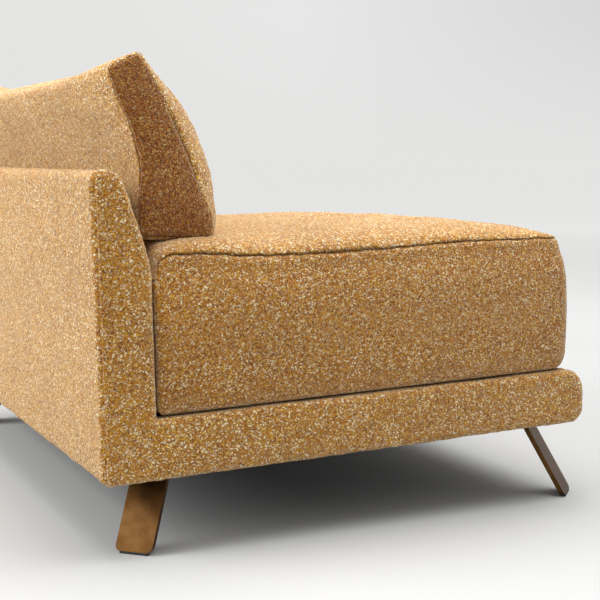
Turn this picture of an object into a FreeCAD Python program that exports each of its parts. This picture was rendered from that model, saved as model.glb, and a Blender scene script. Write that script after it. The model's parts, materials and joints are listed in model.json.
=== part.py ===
import FreeCAD, Part
import math
import os

from FreeCAD import Placement, Rotation, Vector

# An armless upholstered seat with a storage bay under a seat that lifts up and forward on parallel arms.
# Sizes are in millimetres and angles in degrees. The shell's own frame has X across the width, -Y towards
# the front and Z up, from the lower rear edge of the upholstered shell. place() then tips the shell back on
# its legs. "Depth" values are distances forward from the outer back face.

# Upholstered shell
width = 1120.0
base_depth = 845.0
base_height = 91.0
panel_height = 451.0
panel_thickness = 86.5
panel_bend_height = 305.0
panel_lean = 0.3              # how far the inner face moves back for each unit of height above the bend
panel_top_radius = 17.0
side_pad = 12.0
outer_pad = 14.0
inner_pad = 20.0
top_pad = 26.0
rim_pad = 6.0
nose_depth = 42.0
nose_top_radius = 36.0
nose_bottom_radius = 26.0

# Timber and boards
rail_thickness = 22.0
floor_thickness = 9.0
dust_cover_thickness = 2.0
back_board_thickness = 4.0
back_top_rail_height = 38.0
back_post_width = 44.0
front_block_depth = 44.0
rear_block_depth = 64.0
block_inset = 26.0            # from the side rail to a corner block
block_length = 72.0

# Seat block, which is the lid of the bay
lid_side_inset = 6.0
lid_setback = 30.0
lid_rear_gap = 3.0
lid_gap = 3.0                 # shadow gap between the platform and the seat block
lid_pad = 20.0
lid_pad_lap = 3.0             # how far the lid's pads hang below its boards
lid_board = 15.0
deck_underside = 215.0
deck_thickness = 12.0
seat_top = 340.0
seat_edge_radius = 30.0

# Loose back cushion
cushion_inset = 60.0
cushion_gap = 3.0
cushion_height = 276.0
cushion_rear_offset = 4.5
cushion_upright = 146.0       # height of the upright lower part of its rear
cushion_top_rear = 49.5
cushion_top_drop = 20.0       # from the tip down to the top's rear edge
cushion_tip = 96.5
cushion_tip_depth = 12.0
cushion_tip_drop = 6.0
cushion_base_depth = 138.0
cushion_waist_depth = 99.0
cushion_knee_height = 66.0
cushion_knee_inset = 4.0
cushion_toe_height = 30.0
cushion_toe_inset = 12.0
cushion_end_radius = 18.0
zip_width = 7.0
zip_thickness = 1.6
zip_inset = 110.0
zip_height_above_seat = 40.0

# Legs, in the frame of the floor
tilt = 1.44
rear_height = 112.2
leg_lean = 30.0
blade_width = 60.0
blade_thickness = 8.0
blade_corner_radius = 8.0
foot_side_inset = 36.0
front_foot_inset = 4.0
rear_foot_inset = 53.5
glide_height = 4.0
glide_length = 44.0
leg_plate_thickness = 4.0
leg_plate_inside = 50.0       # from the blade to the plate's inner edge
leg_plate_outside = 8.0
leg_screw_inside = 20.0
leg_screw_spread = 22.0

# Lift mechanism
arm_length = 280.0
arm_rest_angle = 12.0
arm_swing = 60.0
arm_width = 30.0
arm_thickness = 5.0
arm_margin = 12.0             # from an arm's end to the block or board beyond it
pivot_height = 45.0
pin_radius = 5.0
pin_clearance = 0.08
pin_head_radius = 9.0
pin_shoulder_radius = 8.0
pin_head_height = 2.0
plate_thickness = 3.0
side_gap = 3.0                # between the lid's bracket and the arms
face_gap = 0.3                # between faces of different moving bodies
strut_stud_offset = 30.0      # strut's lower stud from the front arm's pivot
strut_arm_reach = 250.0       # strut's upper stud from the front arm's pivot, along the arm
strut_radius = 9.0
strut_rod_radius = 4.0
strut_eye_thickness = 8.0
strut_eye_radius = 11.5
strut_eye_gap = 4.8           # room for the upper stud in the rod's eye
strut_stud_radius = 3.0
strut_head_rim = 3.0
strut_tube_end = 92.0         # from the tube's mouth to the upper stud
strut_tang_lap = 2.0          # how far the eye's tang runs into the tube

# Fasteners
screw_radius = 2.4
screw_clearance = 0.3
screw_head_radius = 4.6
screw_head_height = 2.4
leg_screw_length = 34.0
bracket_screw_length = 14.0
bumper_radius = 4.0

# Values that follow from the ones above
half = width / 2
frame_half = half - side_pad
bay_half = frame_half - rail_thickness
frame_front = base_depth - nose_depth
bay_front = frame_front - rail_thickness
rail_bottom = dust_cover_thickness
rail_top = base_height - rim_pad
floor_top = dust_cover_thickness + floor_thickness
front_block = bay_front - front_block_depth
rear_block = panel_thickness + rear_block_depth
block_outer = bay_half - block_inset
block_inner = block_outer - block_length
lid_half = half - lid_side_inset
lid_rear = panel_thickness + lid_rear_gap
lid_front = base_depth - lid_setback
lid_bottom = base_height + lid_gap
board_bottom = lid_bottom + lid_pad_lap
board_half = lid_half - lid_pad
hollow_half = board_half - lid_board
hollow_rear = lid_rear + lid_pad + lid_board
hollow_front = lid_front - lid_pad - lid_board
deck_top = deck_underside + deck_thickness
arm_radius = arm_width / 2
arm_reach = arm_length * math.cos(math.radians(arm_rest_angle))
arm_rise = arm_length * math.sin(math.radians(arm_rest_angle))
rear_lid_pivot = hollow_rear + arm_margin + arm_radius
rear_base_pivot = rear_lid_pivot + arm_reach
front_base_pivot = front_block - arm_margin / 2 - arm_radius
front_lid_pivot = front_base_pivot - arm_reach
lid_pivot_height = pivot_height + arm_rise
base_plate_inner = bay_half - plate_thickness
lid_plate_inner = hollow_half - plate_thickness
arm_outer = lid_plate_inner - side_gap
arm_inner = arm_outer - arm_thickness
strut_centre = arm_inner - face_gap - pin_head_height - strut_radius
cushion_half = half - cushion_inset
cushion_bottom = seat_top + cushion_gap
cushion_rear = panel_thickness + cushion_rear_offset


def block(x0, x1, depth0, depth1, z0, z1):
    """A box between two places across, two depths from the back face and two heights."""
    corner = Vector(min(x0, x1), -max(depth0, depth1), min(z0, z1))
    return Part.makeBox(abs(x1 - x0), abs(depth1 - depth0), abs(z1 - z0), corner)


def side_prism(points, x0, x1):
    """A prism across the width, from its outline in depth and height."""
    outline = [Vector(min(x0, x1), -depth, z) for depth, z in points]
    face = Part.Face(Part.makePolygon(outline + outline[:1]))
    return face.extrude(Vector(abs(x1 - x0), 0, 0))


def rod(x0, x1, depth, z, radius):
    """A round bar that lies across the width."""
    return Part.makeCylinder(radius, abs(x1 - x0), Vector(min(x0, x1), -depth, z), Vector(1, 0, 0))


def fillet_where(solid, radius, chosen):
    """Rounds the edges for which chosen(middle, direction) is true."""
    edges = []
    for edge in solid.Edges:
        ends = [vertex.Point for vertex in edge.Vertexes]
        if len(ends) == 2 and chosen((ends[0] + ends[1]) * 0.5, (ends[1] - ends[0]).normalize()):
            edges.append(edge)
    return solid.makeFillet(radius, edges)


def across(direction):
    return abs(direction.x) > 0.99


def mirrored(shape):
    return shape.mirror(Vector(0, 0, 0), Vector(1, 0, 0))


def group(shapes):
    """Separate solids that share one node."""
    return Part.makeCompound([solid for shape in shapes for solid in shape.Solids])


def cut_all(shape, tools):
    for tool in tools:
        shape = shape.cut(tool)
    return shape


# Back panel


def outer_face(inset):
    return lambda z: inset


def inner_face(inset):
    return lambda z: panel_thickness - inset - panel_lean * max(0.0, z - panel_bend_height)


def panel_piece(x0, x1, rear, front, z0, z1):
    """A layer of the back panel between two of its surfaces, each a function of height."""
    heights = [z0, z1]
    if z0 < panel_bend_height < z1:
        heights.insert(1, panel_bend_height)
    rear_side = [(rear(z), z) for z in heights]
    front_side = [(front(z), z) for z in reversed(heights)]
    if rear(z0) == rear(z1):
        rear_side = [rear_side[0], rear_side[-1]]
    return side_prism(rear_side + front_side, x0, x1)


def rounded_top(solid):
    return fillet_where(solid, panel_top_radius,
                        lambda middle, way: across(way) and middle.z > panel_height - 1)


def back_panel():
    cap_bottom = panel_height - top_pad
    frame_rear = outer_pad + back_board_thickness
    frame_front_inset = inner_pad + back_board_thickness
    board_top = panel_bend_height - back_board_thickness

    def post(centre):
        body = panel_piece(centre - back_post_width / 2, centre + back_post_width / 2,
                           outer_face(frame_rear), inner_face(frame_front_inset), base_height, cap_bottom)
        foot = block(centre - back_post_width / 2, centre + back_post_width / 2,
                     frame_rear, panel_thickness - rail_thickness, rail_bottom, base_height)
        return body.fuse(foot).removeSplitter()

    post_centre = frame_half - back_post_width / 2
    post_inside = post_centre - back_post_width / 2
    rail_rear = panel_thickness - rail_thickness
    top_rail = panel_piece(back_post_width / 2, post_inside, outer_face(frame_rear),
                           inner_face(frame_front_inset), cap_bottom - back_top_rail_height, cap_bottom)
    end = panel_piece(frame_half, half, outer_face(0), inner_face(0), 0, panel_height)
    end = rounded_top(end)
    return {
        "back_posts": group([post(-post_centre), post(0), post(post_centre)]),
        "back_top_rail": group([top_rail, mirrored(top_rail)]),
        "back_outer_board": block(-frame_half, frame_half, outer_pad, frame_rear, rail_bottom, cap_bottom),
        "back_inner_board": block(-frame_half, frame_half, panel_thickness - frame_front_inset,
                                  panel_thickness - inner_pad, base_height, board_top),
        "back_outer_pad": block(-frame_half, frame_half, 0, outer_pad, 0, cap_bottom),
        "back_inner_pad": panel_piece(-frame_half, frame_half, inner_face(inner_pad), inner_face(0),
                                      base_height, cap_bottom),
        "back_top_pad": rounded_top(panel_piece(-frame_half, frame_half, outer_face(0), inner_face(0),
                                                cap_bottom, panel_height)),
        "back_end_pad_left": mirrored(end),
        "back_end_pad_right": end,
        "base_rear_rail": block(-frame_half, frame_half, rail_rear, panel_thickness, rail_bottom, base_height),
    }


# Platform


def platform_pad(x0, x1, rear):
    """Padding of the platform, with a rounded nose along its front."""
    pad = block(x0, x1, rear, base_depth, 0, base_height)
    pad = fillet_where(pad, nose_top_radius,
                       lambda middle, way: across(way) and middle.y < 1 - base_depth and middle.z > 1)
    return fillet_where(pad, nose_bottom_radius,
                        lambda middle, way: across(way) and middle.y < 1 - base_depth and middle.z < 1)


def leg_top(foot_depth, way):
    """Where a right-hand leg meets its plate; way is 1 when the foot reaches forward of it, else -1."""
    slope = math.tan(math.radians(leg_lean)) / math.sqrt(2)
    height = rear_height - leg_plate_thickness + foot_depth * math.sin(math.radians(tilt))
    return half - foot_side_inset - slope * height, foot_depth - way * slope * height


def leg_tops():
    """Place across, depth and forward direction of each right-hand leg's top."""
    front = leg_top(base_depth - front_foot_inset, 1)
    rear = leg_top(rear_foot_inset, -1)
    return {"front": (front[0], front[1], 1), "rear": (rear[0], rear[1], -1)}


def leg_screw_places():
    """Centres across and in depth of the three screws behind each right-hand leg's blade."""
    places = []
    for x, depth, way in leg_tops().values():
        for inside, spread in ((1, 1), (1, -1), (2, 0)):
            along = inside * leg_screw_inside / math.sqrt(2)
            aside = spread * leg_screw_spread / math.sqrt(2)
            places.append((x - along + aside, depth - way * (along + aside)))
    return places


def pilot_holes(radius, z0, z1):
    holes = []
    for x, depth in leg_screw_places():
        for side in (-1, 1):
            holes.append(Part.makeCylinder(radius, z1 - z0, Vector(side * x, -depth, z0)))
    return holes


def platform():
    pilots = pilot_holes(screw_radius + screw_clearance, -1, leg_screw_length)
    blocks = [
        block(block_inner, block_outer, panel_thickness, rear_block, floor_top, rail_top),
        block(block_inner, block_outer, front_block, bay_front, floor_top, rail_top),
    ]
    floor = block(-bay_half, bay_half, panel_thickness, bay_front, rail_bottom, floor_top)
    dust_cover = block(-frame_half, frame_half, outer_pad, frame_front, 0, dust_cover_thickness)
    side_rail = block(bay_half, frame_half, panel_thickness, frame_front, rail_bottom, rail_top)
    side_rail = cut_all(side_rail, bracket_screw_holes(bay_half, bay_half + bracket_screw_length,
                                                       base_screw_places()))
    side_rim = block(bay_half, frame_half, panel_thickness, frame_front, rail_top, base_height)
    front_rim = block(-bay_half, bay_half, bay_front, frame_front, rail_top, base_height)
    return {
        "base_left_rail": mirrored(side_rail),
        "base_right_rail": side_rail,
        "base_front_rail": cut_all(block(-bay_half, bay_half, bay_front, frame_front, rail_bottom, rail_top),
                                   pilots),
        "corner_blocks": cut_all(group(blocks + [mirrored(piece) for piece in blocks]), pilots),
        "storage_floor": cut_all(floor, pilots),
        "dust_cover": cut_all(dust_cover, pilots),
        "base_side_pad_left": platform_pad(-half, -frame_half, panel_thickness),
        "base_side_pad_right": platform_pad(frame_half, half, panel_thickness),
        "base_front_pad": platform_pad(-frame_half, frame_half, frame_front),
        "base_rim_pads": group([side_rim, mirrored(side_rim), front_rim]),
    }


# Legs


def leg(depth, outward, top_place):
    """A right-hand leg in the floor's frame: a flat blade that leans out along the corner's diagonal."""
    top = rear_height + base_depth
    blade = Part.makeBox(blade_thickness, blade_width, 2 * top,
                         Vector(-blade_thickness / 2, -blade_width / 2, -top))
    blade.rotate(Vector(0, 0, 0), Vector(0, 1, 0), -leg_lean)
    blade.rotate(Vector(0, 0, 0), Vector(0, 0, 1), outward)
    foot = Vector(half - foot_side_inset, -depth, 0)
    blade.translate(foot)
    room = Part.makeBox(width, width, top, foot + Vector(-half, -half, glide_height))
    above = tip(block(-width, width, -base_depth, 2 * base_depth, -leg_plate_thickness, 2 * top))
    blade = blade.common(room).cut(above)
    blade = fillet_where(blade, blade_corner_radius,
                         lambda middle, way: abs(middle.z - glide_height) < 0.1
                         and abs((middle - foot) * Vector(way.y, -way.x, 0)) > blade_width / 2 - 1
                         and abs(way.z) < 0.1)
    x, plate_depth = top_place[:2]
    plate = Part.makeBox(leg_plate_inside + leg_plate_outside, blade_width, leg_plate_thickness,
                         Vector(-leg_plate_inside, -blade_width / 2, -leg_plate_thickness))
    plate.rotate(Vector(0, 0, 0), Vector(0, 0, 1), outward)
    plate.translate(Vector(x, -plate_depth, 0))
    plate = cut_all(plate, pilot_holes(screw_radius + screw_clearance, -leg_plate_thickness - 1, 1))
    return blade.fuse(tip(plate)).removeSplitter()


def glide(depth, outward):
    length = blade_thickness / math.cos(math.radians(leg_lean))
    pad = Part.makeBox(length, glide_length, glide_height, Vector(-length / 2, -glide_length / 2, 0))
    pad.rotate(Vector(0, 0, 0), Vector(0, 0, 1), outward)
    shift = glide_height * math.tan(math.radians(leg_lean))
    turn = math.radians(outward)
    pad.translate(Vector(half - foot_side_inset - shift * math.cos(turn), -depth - shift * math.sin(turn), 0))
    return pad


def legs():
    tops = leg_tops()
    front_depth = base_depth - front_foot_inset
    front = leg(front_depth, -45, tops["front"])
    rear = leg(rear_foot_inset, 45, tops["rear"])
    glides = [glide(front_depth, -45), glide(rear_foot_inset, 45)]
    return {
        "leg_front_right": front,
        "leg_front_left": mirrored(front),
        "leg_rear_right": rear,
        "leg_rear_left": mirrored(rear),
        "leg_glides": group(glides + [mirrored(pad) for pad in glides]),
    }


def leg_screws():
    screws = []
    for x, depth in leg_screw_places():
        foot = Vector(x, -depth, -leg_plate_thickness)
        shank = Part.makeCylinder(screw_radius, leg_screw_length, foot)
        head = Part.makeCylinder(screw_head_radius, screw_head_height, foot - Vector(0, 0, screw_head_height))
        screws.append(shank.fuse(head))
    return group(screws + [mirrored(screw) for screw in screws])


# Seat block


def seat_block():
    def outline(inset, z0, z1):
        return block(-lid_half + inset, lid_half - inset, lid_rear + inset, lid_front - inset, z0, z1)

    side = block(hollow_half, board_half, lid_rear + lid_pad, lid_front - lid_pad, board_bottom, deck_underside)
    side = cut_all(side, bracket_screw_holes(hollow_half, hollow_half + bracket_screw_length,
                                             lid_screw_places()))
    front = block(-hollow_half, hollow_half, hollow_front, hollow_front + lid_board, board_bottom,
                  deck_underside)
    rear = block(-hollow_half, hollow_half, hollow_rear - lid_board, hollow_rear, board_bottom, deck_underside)
    pads = [
        block(board_half, lid_half, lid_rear, lid_front, lid_bottom, deck_top),
        block(-lid_half, -board_half, lid_rear, lid_front, lid_bottom, deck_top),
        block(-board_half, board_half, lid_rear, lid_rear + lid_pad, lid_bottom, deck_top),
        block(-board_half, board_half, lid_front - lid_pad, lid_front, lid_bottom, deck_top),
    ]
    foam = fillet_where(outline(0, deck_top, seat_top), seat_edge_radius,
                        lambda middle, way: middle.z > seat_top - 1)
    return {
        "lid_board_left": mirrored(side),
        "lid_board_right": side,
        "lid_board_front": front,
        "lid_board_rear": rear,
        "seat_deck": outline(lid_pad, deck_underside, deck_top),
        "lid_side_pads": group(pads),
        "seat_foam": foam,
    }


def bumpers():
    rail_line = (bay_half + board_half) / 2
    spots = [(rail_line, depth, base_height) for depth in (hollow_rear + bumper_radius, front_block)]
    block_middle = (block_inner + block_outer) / 2
    spots += [(block_middle, hollow_rear - lid_board / 2, rail_top)]
    spots += [(block_middle, hollow_front + lid_board / 2, base_height)]
    pieces = [Part.makeCylinder(bumper_radius, board_bottom - z, Vector(x, -depth, z))
              for x, depth, z in spots]
    return group(pieces + [mirrored(piece) for piece in pieces])


# Lift mechanism


def base_screw_places():
    """Depth and height of the screws through one of the platform's brackets."""
    low = (floor_top + pivot_height) / 2
    return [(rear_base_pivot - arm_width, low), (rear_base_pivot + arm_width, low),
            (front_base_pivot - 2 * arm_width, low), ((rear_base_pivot + front_base_pivot) / 2, low)]


def lid_screw_places():
    high = lid_pivot_height + arm_width
    middle = (rear_lid_pivot + front_lid_pivot) / 2
    return [(rear_lid_pivot, high), (rear_lid_pivot + arm_width, high), (middle, high), (front_lid_pivot, high)]


def bracket_screw_holes(x0, x1, places):
    return [rod(x0, x1, depth, z, screw_radius + screw_clearance) for depth, z in places]


def bracket_screws(face, places):
    screws = []
    for depth, z in places:
        shank = rod(face, face + bracket_screw_length, depth, z, screw_radius)
        head = rod(face - screw_head_height, face, depth, z, screw_head_radius)
        screws.append(shank.fuse(head))
    return group(screws + [mirrored(screw) for screw in screws])


def pin(plate_outer, depth, z):
    """A shouldered pivot pin from a bracket's outer side to its head beyond the arm."""
    shank = rod(plate_outer, arm_inner - face_gap, depth, z, pin_radius)
    shoulder = rod(plate_outer - plate_thickness, arm_outer + face_gap, depth, z, pin_shoulder_radius)
    head = rod(arm_inner - face_gap, arm_inner - face_gap - pin_head_height, depth, z, pin_head_radius)
    return shank.fuse([shoulder, head]).removeSplitter()


def lower_strut_stud():
    """Depth and height of the stud that carries the strut's tube."""
    middle = math.radians(arm_rest_angle + arm_swing / 2 - 90)
    return (front_base_pivot - strut_stud_offset * math.cos(middle),
            pivot_height + strut_stud_offset * math.sin(middle))


def upper_strut_stud():
    angle = math.radians(arm_rest_angle)
    return (front_base_pivot - strut_arm_reach * math.cos(angle),
            pivot_height + strut_arm_reach * math.sin(angle))


def base_bracket():
    stud_depth, stud_z = lower_strut_stud()
    plate = block(base_plate_inner, bay_half, rear_base_pivot - 2 * arm_radius - pin_head_radius,
                  front_base_pivot + arm_radius, floor_top, pivot_height + arm_radius)
    for depth in (rear_base_pivot, front_base_pivot):
        plate = plate.cut(rod(base_plate_inner, bay_half, depth, pivot_height, pin_radius))
    stud = rod(base_plate_inner, strut_centre - strut_eye_thickness / 2 - face_gap - pin_head_height,
               stud_depth, stud_z, strut_stud_radius)
    head = rod(strut_centre - strut_eye_thickness / 2 - face_gap,
               strut_centre - strut_eye_thickness / 2 - face_gap - pin_head_height,
               stud_depth, stud_z, strut_stud_radius + strut_head_rim)
    plate = cut_all(plate, bracket_screw_holes(base_plate_inner, bay_half, base_screw_places()))
    return plate.fuse([stud, head]).removeSplitter()


def lid_bracket():
    top = lid_pivot_height + arm_width + 2 * screw_head_radius
    bottom = lid_pivot_height - arm_radius
    plate = block(lid_plate_inner, hollow_half, rear_lid_pivot - arm_radius, front_lid_pivot + arm_radius,
                  bottom, top)
    gap = block(lid_plate_inner - 1, hollow_half + 1, rear_lid_pivot + 2 * arm_radius,
                front_lid_pivot - 2 * arm_radius, bottom - 1, lid_pivot_height + arm_radius)
    plate = plate.cut(gap)
    for depth in (rear_lid_pivot, front_lid_pivot):
        plate = plate.cut(rod(lid_plate_inner, hollow_half, depth, lid_pivot_height, pin_radius))
    return cut_all(plate, bracket_screw_holes(lid_plate_inner, hollow_half, lid_screw_places()))


def arm(base_depth_at_pivot, with_stud):
    """A flat bar with round ends, from the platform's pivot back and up to the lid's pivot."""
    bar = Part.makeBox(arm_thickness, arm_length, arm_width,
                       Vector(arm_inner, -base_depth_at_pivot, pivot_height - arm_radius))
    bar = bar.fuse([rod(arm_inner, arm_outer, base_depth_at_pivot, pivot_height, arm_radius),
                    rod(arm_inner, arm_outer, base_depth_at_pivot - arm_length, pivot_height, arm_radius)])
    bar = bar.removeSplitter()
    for depth in (base_depth_at_pivot, base_depth_at_pivot - arm_length):
        bar = bar.cut(rod(arm_inner, arm_outer, depth, pivot_height, pin_radius + pin_clearance))
    bar.rotate(Vector(0, -base_depth_at_pivot, pivot_height), Vector(1, 0, 0), arm_rest_angle)
    if with_stud:
        depth, z = upper_strut_stud()
        end = strut_centre - strut_eye_thickness / 2 - face_gap
        stud = rod(arm_inner, end - pin_head_height, depth, z, strut_stud_radius)
        head = rod(end, end - pin_head_height, depth, z, strut_eye_radius - 1)
        bar = bar.fuse([stud, head]).removeSplitter()
    return bar


def strut():
    """The tube and the rod of one gas strut, drawn along -Y and then turned onto its two studs."""
    depth0, z0 = lower_strut_stud()
    depth1, z1 = upper_strut_stud()
    length = math.hypot(depth0 - depth1, z1 - z0)
    slope = math.degrees(math.atan2(z1 - z0, depth0 - depth1))
    x0 = strut_centre - strut_eye_thickness / 2
    x1 = strut_centre + strut_eye_thickness / 2
    along = Vector(0, 1, 0)

    def at(distance):
        return Vector(strut_centre, distance, 0)

    def eye(distance, outer, inner):
        ring = rod(x0, x1, -distance, 0, outer)
        return ring, rod(x0, x1, -distance, 0, inner)

    mouth = length - strut_tube_end
    neck_end = strut_radius + strut_rod_radius
    tube = Part.makeCylinder(strut_radius, mouth - neck_end, at(neck_end), along)
    bore = Part.makeCylinder(strut_rod_radius + pin_clearance, mouth, at(2 * neck_end), along)
    ring, hole = eye(0, strut_eye_radius, strut_stud_radius + pin_clearance)
    tang = block(x0, x1, 0, -neck_end - strut_tang_lap, -strut_rod_radius, strut_rod_radius)
    tube = ring.fuse(tang).removeSplitter().cut(hole).fuse(tube.cut(bore)).removeSplitter()
    top_ring, top_hole = eye(length, strut_eye_radius, strut_stud_radius + strut_eye_gap)
    start = mouth - strut_tube_end / 2
    bar = Part.makeCylinder(strut_rod_radius, length - start, at(start), along)
    bar = bar.fuse(top_ring).removeSplitter().cut(top_hole)
    for piece in (tube, bar):
        piece.rotate(Vector(0, 0, 0), Vector(1, 0, 0), slope)
        piece.translate(Vector(0, -depth0, z0))
    return tube, bar


def mechanism():
    base_pins = [pin(bay_half, depth, pivot_height) for depth in (rear_base_pivot, front_base_pivot)]
    lid_pins = [pin(hollow_half, depth, lid_pivot_height) for depth in (rear_lid_pivot, front_lid_pivot)]
    front = arm(front_base_pivot, True)
    rear = arm(rear_base_pivot, False)
    tube, bar = strut()
    return {
        "base_bracket_left": mirrored(base_bracket()),
        "base_bracket_right": base_bracket(),
        "base_pivot_pins": group(base_pins + [mirrored(piece) for piece in base_pins]),
        "base_bracket_screws": bracket_screws(base_plate_inner, base_screw_places()),
        "lid_bracket_left": mirrored(lid_bracket()),
        "lid_bracket_right": lid_bracket(),
        "lid_pivot_pins": group(lid_pins + [mirrored(piece) for piece in lid_pins]),
        "lid_bracket_screws": bracket_screws(lid_plate_inner, lid_screw_places()),
        "front_arm_left": mirrored(front),
        "front_arm_right": front,
        "rear_arm_left": mirrored(rear),
        "rear_arm_right": rear,
        "strut_tube_left": mirrored(tube),
        "strut_tube_right": tube,
        "strut_rod_left": mirrored(bar),
        "strut_rod_right": bar,
    }


# Loose back cushion


def cushion_outline():
    """Depth and height of the wedge-shaped cushion: upright at the back, then leaning over the panel."""
    top = cushion_bottom + cushion_height
    front = cushion_rear + cushion_base_depth
    waist = cushion_bottom + cushion_upright
    return [
        (cushion_rear, cushion_bottom),
        (cushion_rear, waist),
        (cushion_top_rear, top - cushion_top_drop),
        (cushion_tip, top),
        (cushion_tip + cushion_tip_depth, top - cushion_tip_drop),
        (cushion_rear + cushion_waist_depth, waist),
        (front - cushion_knee_inset, cushion_bottom + cushion_knee_height),
        (front, cushion_bottom + cushion_toe_height),
        (front - cushion_toe_inset, cushion_bottom),
    ]


def back_cushion():
    cushion = side_prism(cushion_outline(), -cushion_half, cushion_half)
    ends = fillet_where(cushion, cushion_end_radius,
                        lambda middle, way: abs(abs(middle.x) - cushion_half) < 1
                        and middle.y < -cushion_rear - 0.5 * cushion_base_depth
                        and middle.z > cushion_bottom + 1)
    z = cushion_bottom + zip_height_above_seat
    groove = block(-cushion_half + zip_inset, cushion_half - zip_inset, cushion_rear,
                   cushion_rear + zip_thickness, z - zip_width / 2, z + zip_width / 2)
    teeth = groove.copy()
    room = block(-cushion_half + zip_inset, cushion_half - zip_inset, cushion_rear,
                 cushion_rear + 3 * zip_thickness, z - zip_width, z + zip_width)
    teeth.translate(Vector(0, -2 * zip_thickness, 0))
    slider_x = -cushion_half + zip_inset + zip_width
    slider = block(slider_x - zip_width / 2, slider_x + zip_width / 2, cushion_rear + face_gap,
                   cushion_rear + 2 * zip_thickness - face_gap / 2, z - 0.8 * zip_width, z + 0.8 * zip_width)
    return {
        "back_cushion": ends.cut(room),
        "zip_chain": teeth,
        "zip_slider": slider,
    }


# Assembly


def tip(shape):
    """Carries a shape from the shell's frame to the floor's: tipped back and raised onto the legs."""
    moved = shape.copy()
    moved.Placement = Placement(Vector(0, 0, rear_height), Rotation(Vector(1, 0, 0), -tilt)).multiply(
        moved.Placement)
    return moved


def build():
    shell = {}
    for section in (back_panel(), platform(), seat_block(), mechanism(), back_cushion()):
        shell.update(section)
    shell["leg_screws"] = leg_screws()
    shell["lid_bumpers"] = bumpers()
    nodes = {name: tip(shape) for name, shape in shell.items()}
    nodes.update(legs())
    middle = -Part.makeCompound(list(nodes.values())).BoundBox.Center.y
    for shape in nodes.values():
        shape.translate(Vector(0, middle, 0))
    return nodes, middle


def main():
    os.makedirs("parts", exist_ok=True)
    nodes, middle = build()
    for name, shape in nodes.items():
        shape.exportStep("parts/" + name + ".step")
    print(len(nodes), "nodes, shell's rear edge at y =", round(middle, 3))
    return nodes, middle


if __name__ == "__main__":
    main()
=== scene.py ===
import json
import math

import bmesh
import bpy
import numpy as np
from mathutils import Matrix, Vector


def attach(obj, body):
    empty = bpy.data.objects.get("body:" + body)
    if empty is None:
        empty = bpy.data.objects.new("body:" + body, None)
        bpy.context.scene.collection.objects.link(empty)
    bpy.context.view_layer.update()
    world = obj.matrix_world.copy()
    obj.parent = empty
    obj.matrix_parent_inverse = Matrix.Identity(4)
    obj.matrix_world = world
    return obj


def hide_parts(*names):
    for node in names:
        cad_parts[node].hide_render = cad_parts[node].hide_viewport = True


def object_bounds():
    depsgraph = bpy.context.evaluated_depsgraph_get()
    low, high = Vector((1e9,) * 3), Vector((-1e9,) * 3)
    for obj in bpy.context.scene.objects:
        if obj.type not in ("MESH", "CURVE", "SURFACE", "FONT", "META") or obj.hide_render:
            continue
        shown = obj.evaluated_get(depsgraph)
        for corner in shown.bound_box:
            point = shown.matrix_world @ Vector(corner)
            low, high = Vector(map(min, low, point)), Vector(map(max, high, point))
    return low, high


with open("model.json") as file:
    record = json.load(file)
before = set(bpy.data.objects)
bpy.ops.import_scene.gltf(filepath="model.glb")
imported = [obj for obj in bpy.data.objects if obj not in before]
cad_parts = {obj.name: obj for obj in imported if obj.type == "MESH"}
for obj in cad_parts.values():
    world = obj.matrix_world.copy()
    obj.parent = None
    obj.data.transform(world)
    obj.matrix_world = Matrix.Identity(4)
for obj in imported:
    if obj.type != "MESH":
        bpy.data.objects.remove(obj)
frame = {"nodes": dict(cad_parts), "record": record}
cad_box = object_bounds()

# The seat in metres, in the frame's own axes: X across, -Y towards the front, Z up. The upholstered body is
# tipped back a little on its legs, so its pieces are shaped in the shell's frame: (across, depth forward
# from the outer back face, height over the shell's underside).


# The shell's frame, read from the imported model


def node_points(name):
    mesh = frame["nodes"][name].data
    points = np.empty(len(mesh.vertices) * 3)
    mesh.vertices.foreach_get("co", points)
    return points.reshape(-1, 3)


def shell_axes():
    """Rotation from row axes to shell axes, from the upward axis on which the back cushion lifts off."""
    joint = next(j for j in frame["record"]["behaviour"]["joints"] if j["name"] == "cushion_lift_off")
    up = Vector(joint["axis"]).normalized()
    across = Vector((1, 0, 0))
    return np.array([across, up.cross(across), up])


SHELL_AXES = shell_axes()
_rear_pad = node_points("back_outer_pad") @ SHELL_AXES.T
SHELL_ORIGIN = np.array([0.0, _rear_pad[:, 1].max(), _rear_pad[:, 2].min()])


def shell_box(name):
    """Lowest and highest (across, depth, height) of a CAD node in the shell's frame."""
    points = (node_points(name) @ SHELL_AXES.T - SHELL_ORIGIN) * (1, -1, 1)
    return points.min(axis=0), points.max(axis=0)


def to_row(points):
    """Row positions of (across, depth, height) points."""
    return (np.asarray(points, float) * (1, -1, 1) + SHELL_ORIGIN) @ SHELL_AXES


# Mesh helpers


def mesh_piece(name, points, faces, material, **marks):
    """A smooth object from shell points; marks are values of 0 to 1 for each point that its cloth reads."""
    mesh = bpy.data.meshes.new(name)
    mesh.from_pydata(to_row(points).tolist(), [], faces)
    mesh.materials.append(material)
    for mark, values in marks.items():
        made = mesh.attributes.new(mark, "FLOAT", "POINT")
        made.data.foreach_set("value", np.asarray(values, np.float32))
    piece = bpy.data.objects.new(name, mesh)
    bpy.context.scene.collection.objects.link(piece)
    shape = bmesh.new()
    shape.from_mesh(mesh)
    bmesh.ops.recalc_face_normals(shape, faces=shape.faces)
    shape.to_mesh(mesh)
    shape.free()
    mesh.polygons.foreach_set("use_smooth", [True] * len(mesh.polygons))
    return piece


def ring_faces(rings, count):
    """Quads between rings of count points each, in a row one after another."""
    faces = []
    for ring in range(rings - 1):
        low, high = ring * count, (ring + 1) * count
        for i in range(count):
            j = (i + 1) % count
            faces.append((low + i, low + j, high + j, high + i))
    return faces


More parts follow.
